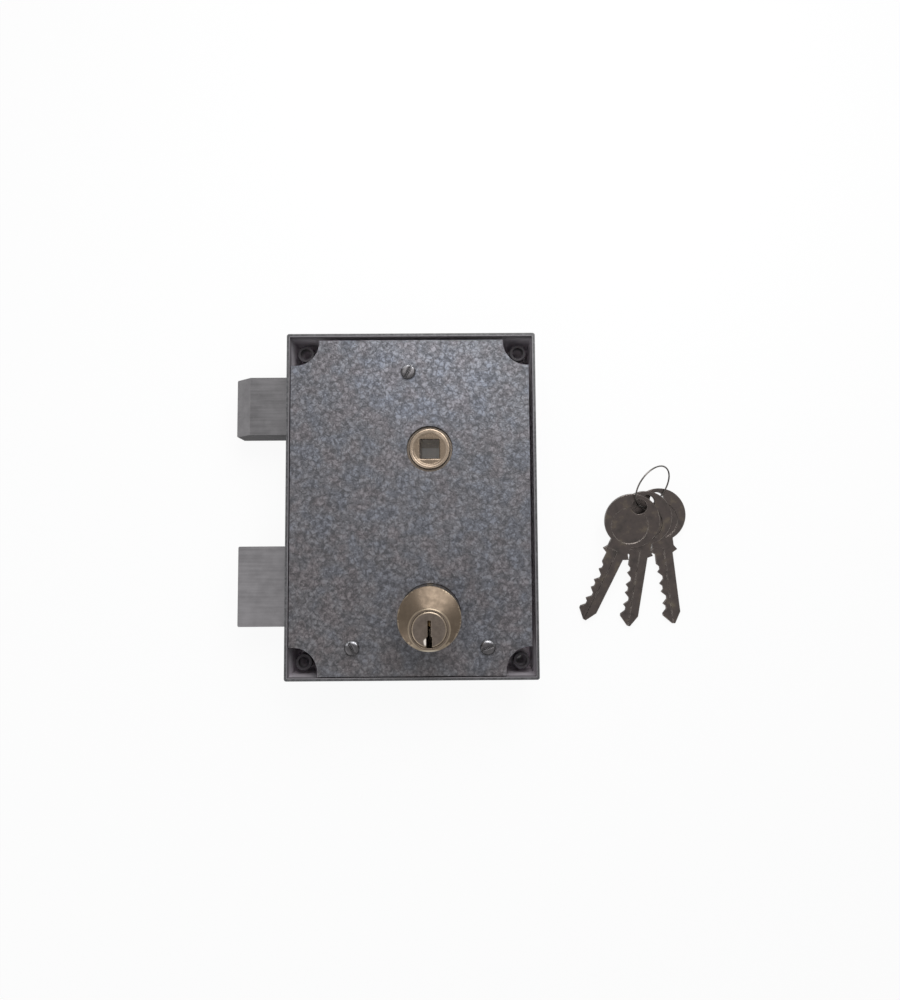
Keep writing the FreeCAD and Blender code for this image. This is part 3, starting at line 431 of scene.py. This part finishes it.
def follower_brass():
    """The follower's brass, with a painted highlight on its lip, painted shade on the faces below it and painted
    light on the walls of its square hole.
    """
    s = Surface("follower_brass")
    shade, tarnish = brass_painted_by_facing(s, flat=(0.23, 0.180, 0.132), slope=(0.30, 0.24, 0.18),
                                  rim=(0.30, 0.24, 0.18), side=(0.16, 0.145, 0.13))
    # Painted highlight on the lip, painted shade on the faces below it.
    lip_highlight = s.rise(s.axes()["Z"], *lip_highlight_mm)
    shade = s.times(shade, s.mix(lip_highlight, (0.76, 0.75, 0.76), (1.12, 1.12, 1.16)))
    # Painted light: the walls of the square hole are made lighter, lifting their shade.
    off_axis = s.add("VectorMath", {0: s.mm, 1: hub_axis_mm}, operation="SUBTRACT").outputs[0]
    flat = s.add("VectorMath", {0: off_axis, 1: (1.0, 1.0, 0.0)}, operation="MULTIPLY").outputs[0]
    reach = s.add("VectorMath", {0: flat}, operation="LENGTH").outputs["Value"]
    upright = s.math("SUBTRACT", 1.0, s.facing_up(0.15, 0.45))
    square_wall_light = s.math("MULTIPLY", s.math("LESS_THAN", reach, square_reach_mm), upright)
    shade = s.mix(square_wall_light, shade, (0.50, 0.44, 0.38))
    painted_corner_colour = s.mix(square_wall_light, (0.19, 0.165, 0.145), (0.50, 0.44, 0.38))
    turned_finish(s, shade, tarnish, roughness=0.22, rubbed_and_highlight=(0.50, 0.43, 0.34), wear_and_highlight_share=0.7,
                  painted_corner_colour=painted_corner_colour, rim_mm=0.7)
    return s.material


def small_brass():
    """The bright brass of pins and caps inside the cylinder."""
    s = Surface("pin_brass")
    shade, tarnish = brass_painted_by_facing(s, flat=(0.55, 0.42, 0.22), slope=(0.55, 0.42, 0.22),
                                  rim=(0.55, 0.42, 0.22), side=(0.50, 0.38, 0.20))
    turned_finish(s, shade, tarnish, roughness=0.25, rubbed_and_highlight=(0.70, 0.56, 0.34), wear_and_highlight_share=0.6,
                  painted_corner_colour=(0.20, 0.15, 0.09), rim_mm=0.3)
    return s.material


def key_metal():
    """Dark oxidised key metal, lighter along its edges as rubbed wear and a painted highlight."""
    s = Surface("key_metal")
    mottle = s.noise(0.22, 5.0, 0.6)
    shade = s.ramp(mottle, (0.30, (0.055, 0.048, 0.045)), (0.52, (0.074, 0.062, 0.058)),
                   (0.72, (0.110, 0.092, 0.074)))
    # Edges lighter: rubbed wear and a painted highlight.
    rubbed_and_highlight = s.math("MULTIPLY", s.edges(0.70, 0.03, 0.25), s.ramp(s.noise(0.30, 3.0, 0.6), (0.40, 0.15), (0.56, 1.0)))
    s.set(Base_Color=s.mix(rubbed_and_highlight, shade, (0.36, 0.32, 0.29)), Metallic=1.0,
          Roughness=s.ramp(mottle, (0.3, 0.42), (0.7, 0.28)))
    s.bump(s.noise(2.2, 4.0, 0.6), 0.02, 0.4, normal=s.rounded(0.5))
    return s.material


def screw_metal():
    """Screw heads: shaded round, with a painted highlight on the upper slope of each head, dull on their sides."""
    s = Surface("screw_steel")
    mottle = s.noise(0.6, 4.0, 0.6)
    shade = s.ramp(mottle, (0.3, (0.066, 0.063, 0.066)), (0.7, (0.098, 0.094, 0.097)))
    # Painted highlight: the upper slope of each head is painted bright.
    slope = s.axes(s.rounded(1.1))["Y"]
    y = s.axes()["Y"]
    row = s.math("MULTIPLY", s.math("GREATER_THAN", y, 0.0), screw_rows_mm[1] - screw_rows_mm[0])
    above = s.rise(s.math("SUBTRACT", y, s.math("ADD", row, screw_rows_mm[0])), *screw_glint_mm)
    shade = s.mix(s.math("MULTIPLY", s.rise(slope, 0.08, 0.34), above), shade, (0.38, 0.38, 0.40))
    top = s.facing_up(0.2, 0.6)
    s.set(Base_Color=s.mix(top, (0.12, 0.117, 0.12), shade), Metallic=s.math("MULTIPLY", top, 0.95),
          Roughness=s.mix(top, (0.7, 0.7, 0.7), (0.20, 0.20, 0.20)))
    s.bump(mottle, 0.02, 0.3, normal=s.rounded(1.1))
    return s.material


def plain_metal(name, colour, roughness):
    """Bare metal with a mottled surface and rubbed edges."""
    s = Surface(name)
    mottle = s.noise(0.4, 5.0, 0.6)
    shade = s.ramp(mottle, (0.3, shaded(colour, 0.7)), (0.7, shaded(colour, 1.15)))
    s.set(Base_Color=s.mix(s.edges(0.3, 0.03, 0.25), shade, shaded(colour, 2.2)), Metallic=0.95,
          Roughness=s.ramp(mottle, (0.3, roughness + 0.08), (0.7, roughness - 0.05)))
    s.bump(mottle, 0.02, 0.4)
    return s.material


def dress(material, slot, *names):
    for name in names:
        node = nodes[name]
        node.data.materials.clear()
        node.data.materials.append(material)


def smoothing():
    """Smooth shading that stops at edges sharper than an angle."""
    tree = bpy.data.node_groups.new("smooth_by_angle", "GeometryNodeTree")
    tree.interface.new_socket("Geometry", in_out="INPUT", socket_type="NodeSocketGeometry")
    tree.interface.new_socket("Geometry", in_out="OUTPUT", socket_type="NodeSocketGeometry")
    source = tree.nodes.new("NodeGroupInput")
    all_faces = tree.nodes.new("GeometryNodeSetShadeSmooth")
    all_faces.domain = "FACE"
    all_faces.inputs["Shade Smooth"].default_value = True
    sharp_edges = tree.nodes.new("GeometryNodeSetShadeSmooth")
    sharp_edges.domain = "EDGE"
    sharp_edges.inputs["Shade Smooth"].default_value = False
    angle = tree.nodes.new("GeometryNodeInputMeshEdgeAngle")
    sharper = tree.nodes.new("FunctionNodeCompare")
    sharper.data_type = "FLOAT"
    sharper.operation = "GREATER_THAN"
    sharper.inputs["B"].default_value = smooth_angle
    target = tree.nodes.new("NodeGroupOutput")
    tree.links.new(source.outputs[0], all_faces.inputs["Geometry"])
    tree.links.new(all_faces.outputs[0], sharp_edges.inputs["Geometry"])
    tree.links.new(angle.outputs["Unsigned Angle"], sharper.inputs["A"])
    tree.links.new(sharper.outputs["Result"], sharp_edges.inputs["Selection"])
    tree.links.new(sharp_edges.outputs[0], target.inputs[0])
    return tree


def soften(tree, bevel_mm, segments, *names):
    """Rounds the edges of CAD nodes a little and shades their curved faces smooth."""
    for name in names:
        node = nodes[name]
        weld = node.modifiers.new("weld", "WELD")
        weld.merge_threshold = weld_distance
        if bevel_mm:
            bevel = node.modifiers.new("edge", "BEVEL")
            bevel.width = bevel_mm * MM
            bevel.segments = segments
            bevel.limit_method = "ANGLE"
            bevel.angle_limit = bevel_angle
            bevel.use_clamp_overlap = True
        node.modifiers.new("smooth", "NODES").node_group = tree
        weighted = node.modifiers.new("normals", "WEIGHTED_NORMAL")
        weighted.keep_sharp = True


def shortening_spring():
    """The latch's spring, copied into a coil of its own that rides on the case, with the CAD spring hidden."""
    node = nodes["latch_spring"]
    coil = bpy.data.objects.new("latch_spring_coil", node.data.copy())
    bpy.context.scene.collection.objects.link(coil)
    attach(coil, "case")
    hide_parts("latch_spring")
    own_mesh(coil)
    return coil


def area_light(name, place, size, power, aim=(0.0, 0.0, 0.0)):
    lamp = bpy.data.lights.new(name, "AREA")
    lamp.shape = "SQUARE"
    lamp.size = size
    lamp.energy = power
    holder = bpy.data.objects.new(name, lamp)
    holder.location = place
    holder.rotation_euler = (Vector(aim) - place).to_track_quat("-Z", "Y").to_euler()
    holder.visible_camera = False
    bpy.context.scene.collection.objects.link(holder)
    return holder


def world():
    """White where the camera or a gloss looks, a soft grey fill for everything else."""
    made = bpy.data.worlds.new("studio")
    made.use_nodes = True
    tree = made.node_tree
    tree.nodes.clear()
    path = tree.nodes.new("ShaderNodeLightPath").outputs
    seen = path["Is Camera Ray"]
    for ray in ("Is Glossy Ray", "Is Transmission Ray"):
        either = tree.nodes.new("ShaderNodeMath")
        either.operation = "MAXIMUM"
        tree.links.new(seen, either.inputs[0])
        tree.links.new(path[ray], either.inputs[1])
        seen = either.outputs[0]
    fill = tree.nodes.new("ShaderNodeBackground")
    fill.inputs["Color"].default_value = (*world_fill, 1.0)
    white = tree.nodes.new("ShaderNodeBackground")
    white.inputs["Color"].default_value = (1.0, 1.0, 1.0, 1.0)
    mixed = tree.nodes.new("ShaderNodeMixShader")
    output = tree.nodes.new("ShaderNodeOutputWorld")
    tree.links.new(seen, mixed.inputs[0])
    tree.links.new(fill.outputs[0], mixed.inputs[1])
    tree.links.new(white.outputs[0], mixed.inputs[2])
    tree.links.new(mixed.outputs[0], output.inputs[0])
    bpy.context.scene.world = made


def floor():
    """White floor that keeps a faint shadow and looks white, but for the ground under the lock."""
    mesh = bpy.data.meshes.new("floor")
    h = floor_half
    mesh.from_pydata([(-h, -h, -floor_gap), (h, -h, -floor_gap), (h, h, -floor_gap), (-h, h, -floor_gap)],
                     [], [(0, 1, 2, 3)])
    plate = bpy.data.objects.new("floor", mesh)
    bpy.context.scene.collection.objects.link(plate)
    material = bpy.data.materials.new("floor_white")
    material.use_nodes = True
    tree = material.node_tree
    tree.nodes.clear()
    new, link = tree.nodes.new, tree.links.new

    def math_node(operation, first, second):
        node = new("ShaderNodeMath")
        node.operation = operation
        for socket, value in zip(node.inputs, (first, second)):
            if isinstance(value, bpy.types.NodeSocket):
                link(value, socket)
            else:
                socket.default_value = value
        return node.outputs[0]

    path = new("ShaderNodeLightPath").outputs
    seen = math_node("MAXIMUM", path["Is Camera Ray"], path["Is Glossy Ray"])
    seen = math_node("MAXIMUM", seen, path["Is Transmission Ray"])
    place = new("ShaderNodeSeparateXYZ")
    link(new("ShaderNodeTexCoord").outputs["Object"], place.inputs[0])
    beside = under_lock_glow
    for axis, half in (("X", tray_high.x), ("Y", tray_high.y)):
        out = math_node("ABSOLUTE", place.outputs[axis], 0.0)
        beside = math_node("MAXIMUM", beside, math_node("GREATER_THAN", out, half - under_lock_margin))
    share = math_node("MULTIPLY", math_node("MULTIPLY", seen, beside), 1.0 - shadow_share)
    paint = new("ShaderNodeBsdfDiffuse")
    paint.inputs["Color"].default_value = (0.9, 0.9, 0.9, 1.0)
    glow = new("ShaderNodeEmission")
    mixed = new("ShaderNodeMixShader")
    output = new("ShaderNodeOutputMaterial")
    link(share, mixed.inputs[0])
    link(paint.outputs[0], mixed.inputs[1])
    link(glow.outputs[0], mixed.inputs[2])
    link(mixed.outputs[0], output.inputs[0])
    mesh.materials.append(material)


def camera():
    lens = bpy.data.cameras.new("camera")
    lens.sensor_width = sensor_mm
    lens.lens = focal_px / frame_height_px * sensor_mm
    lens.clip_start = 0.01
    lens.clip_end = 20.0
    holder = bpy.data.objects.new("camera", lens)
    holder.location = camera_place
    holder.rotation_euler = camera_turn
    bpy.context.scene.collection.objects.link(holder)
    bpy.context.scene.camera = holder


dress(hammered_enamel(), "hammered_enamel", "cover")
dress(case_enamel(), "case_enamel", "case_tray")
dress(satin_steel("latch_steel", (0.132, 0.128, 0.132), 1.1, 0.40, 1.45), "bolt_steel", "latch_head")
dress(satin_steel("deadbolt_steel", (0.178, 0.172, 0.178), 1.1, 0.40, 1.1), "bolt_steel", "deadbolt_head")
dress(plain_metal("inner_steel", (0.16, 0.16, 0.165), 0.42), "inner_steel", "cover_posts", "guide_studs",
      "latch_tail", "latch_rivets", "spring_rod", "spring_bracket", "follower_arm", "deadbolt_tail",
      "deadbolt_rivets", "drive_pinion", "cylinder_bridge")
dress(pillar_paint(), "inner_steel", "fixing_pillars")
dress(screw_metal(), "screw_steel", "cover_screws", "cylinder_screws")
dress(plain_metal("spring_steel", (0.18, 0.18, 0.185), 0.32), "spring_steel",
      "latch_spring", "plug_clip", "pin_springs")
dress(follower_brass(), "follower_brass", "follower_hub")
dress(cylinder_brass(), "cylinder_brass", "cylinder_body")
dress(plug_brass(), "cylinder_brass", "cylinder_plug")
dress(small_brass(), "pin_brass", "key_pins", "driver_pins", "chamber_caps")
dress(key_metal(), "key_metal", "key_1", "key_2", "key_3")
dress(plain_metal("ring_wire", (0.085, 0.078, 0.072), 0.28), "ring_wire", "key_ring")

smooth = smoothing()
soften(smooth, 0.20, 2, "cover", "latch_head", "deadbolt_head")
soften(smooth, 0.15, 2, "case_tray", "cover_screws", "follower_hub", "cylinder_body", "key_1", "key_2", "key_3",
       "fixing_pillars", "cover_posts", "guide_studs")
soften(smooth, 0.10, 1, "cylinder_plug", "latch_tail", "deadbolt_tail", "follower_arm", "spring_bracket",
       "spring_rod", "drive_pinion", "cylinder_bridge", "latch_rivets", "deadbolt_rivets",
       "cylinder_screws", "plug_clip", "key_pins", "driver_pins", "chamber_caps")
nodes["latch_spring_coil"] = shortening_spring()
soften(smooth, 0, 0, "key_ring", "latch_spring_coil", "pin_springs")

world()
floor()
area_light("key_light", key_place, key_size, key_power)
area_light("fill_light", fill_place, fill_size, fill_power)
camera()
bpy.context.scene.view_settings.view_transform = "Standard"
